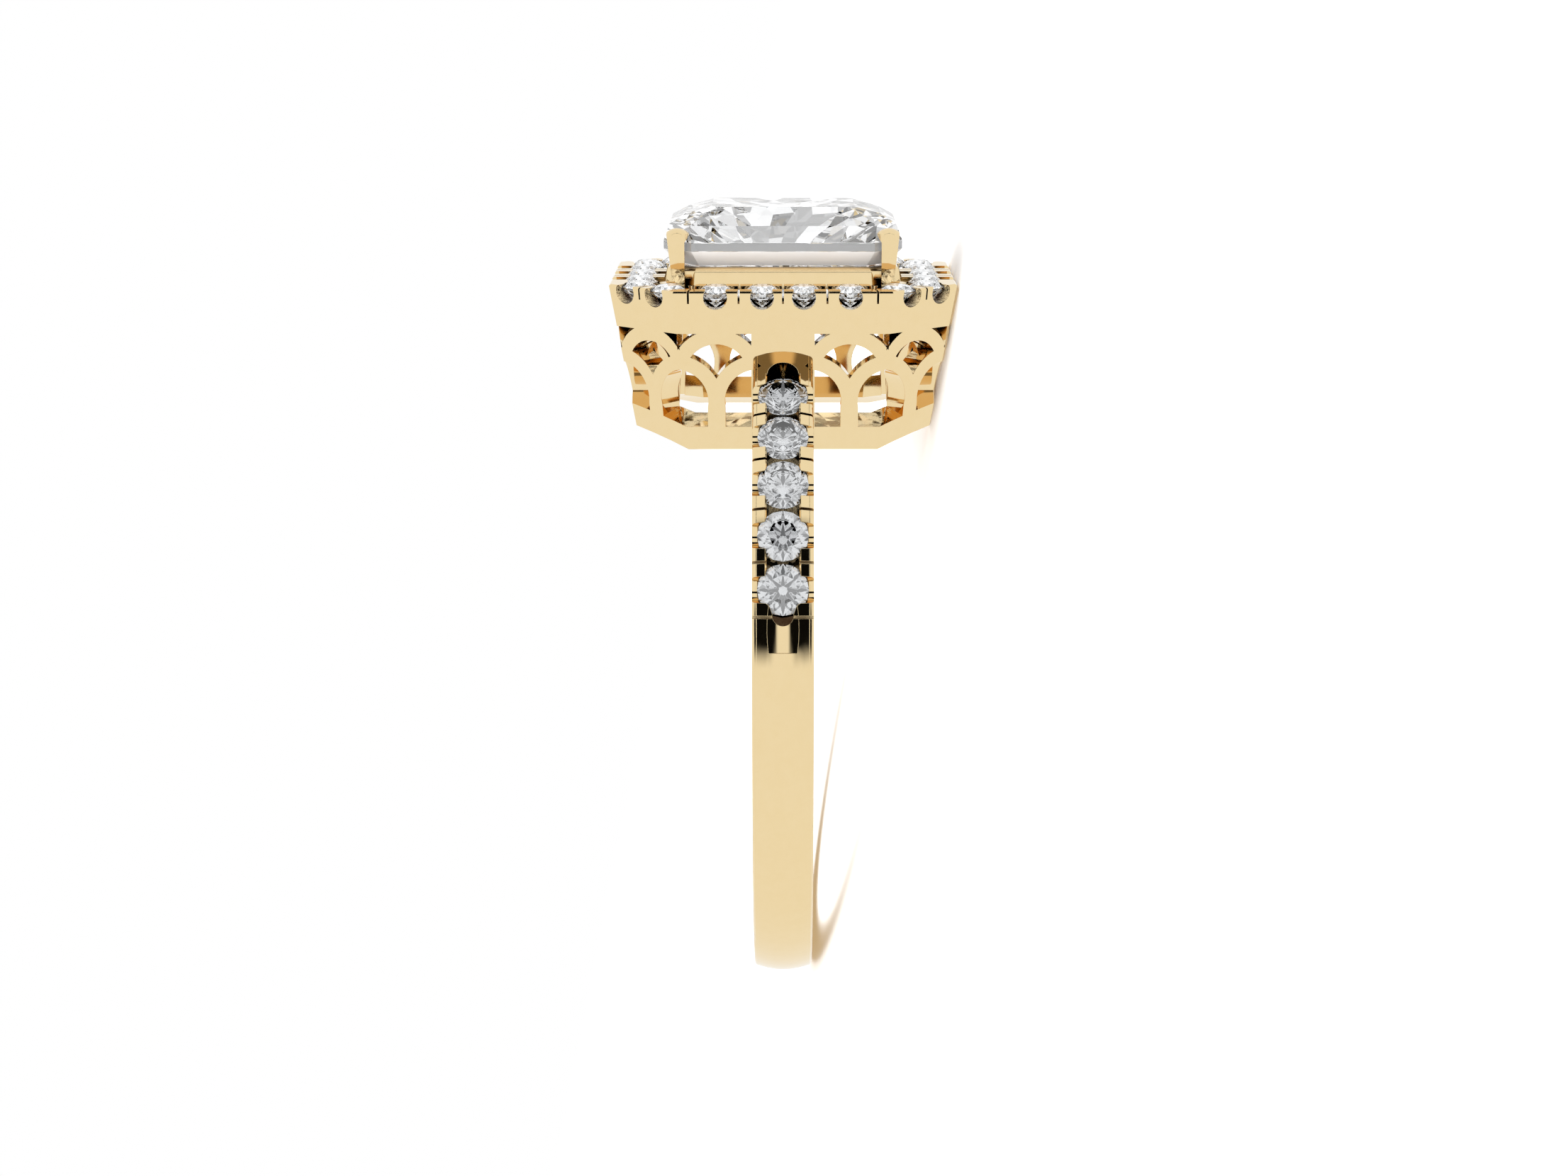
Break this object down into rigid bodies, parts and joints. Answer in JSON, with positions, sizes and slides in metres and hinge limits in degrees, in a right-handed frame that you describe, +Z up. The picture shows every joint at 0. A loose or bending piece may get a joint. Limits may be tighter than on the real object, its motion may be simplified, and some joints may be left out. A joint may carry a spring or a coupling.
{
  "type": "halo engagement ring",
  "caption": "Yellow gold halo ring with a long cropped-corner stone in four prongs, a pierced gallery and stone-set shoulders.",
  "frame": {"origin": "middle of the footprint of the ring as it lies on its side, on the surface it lies on", "axes": "+X from the bottom of the band towards the main stone, +Y across the finger, +Z up; the finger's axis is tipped about 11 degrees from Z"},
  "size_m": [0.025, 0.0198, 0.0105],
  "materials": {
    "ring_setting": "polished yellow gold",
    "center_stone": "faceted clear diamond",
    "halo_stone": "faceted clear diamond",
    "shank_stone": "faceted clear diamond"
  },
  "bodies": {
    "root": {"ring_setting": "ring_setting", "center_stone": "center_stone", "halo_stone_01": "halo_stone", "halo_stone_02": "halo_stone", "halo_stone_03": "halo_stone", "halo_stone_04": "halo_stone", "halo_stone_05": "halo_stone", "halo_stone_06": "halo_stone", "halo_stone_07": "halo_stone", "halo_stone_08": "halo_stone", "halo_stone_09": "halo_stone", "halo_stone_10": "halo_stone", "halo_stone_11": "halo_stone", "halo_stone_12": "halo_stone", "halo_stone_13": "halo_stone", "halo_stone_14": "halo_stone", "halo_stone_15": "halo_stone", "halo_stone_16": "halo_stone", "halo_stone_17": "halo_stone", "halo_stone_18": "halo_stone", "halo_stone_19": "halo_stone", "halo_stone_20": "halo_stone", "halo_stone_21": "halo_stone", "halo_stone_22": "halo_stone", "shank_stone_01": "shank_stone", "shank_stone_02": "shank_stone", "shank_stone_03": "shank_stone", "shank_stone_04": "shank_stone", "shank_stone_05": "shank_stone", "shank_stone_06": "shank_stone", "shank_stone_07": "shank_stone", "shank_stone_08": "shank_stone", "shank_stone_09": "shank_stone", "shank_stone_10": "shank_stone"}
  },
  "joints": []
}
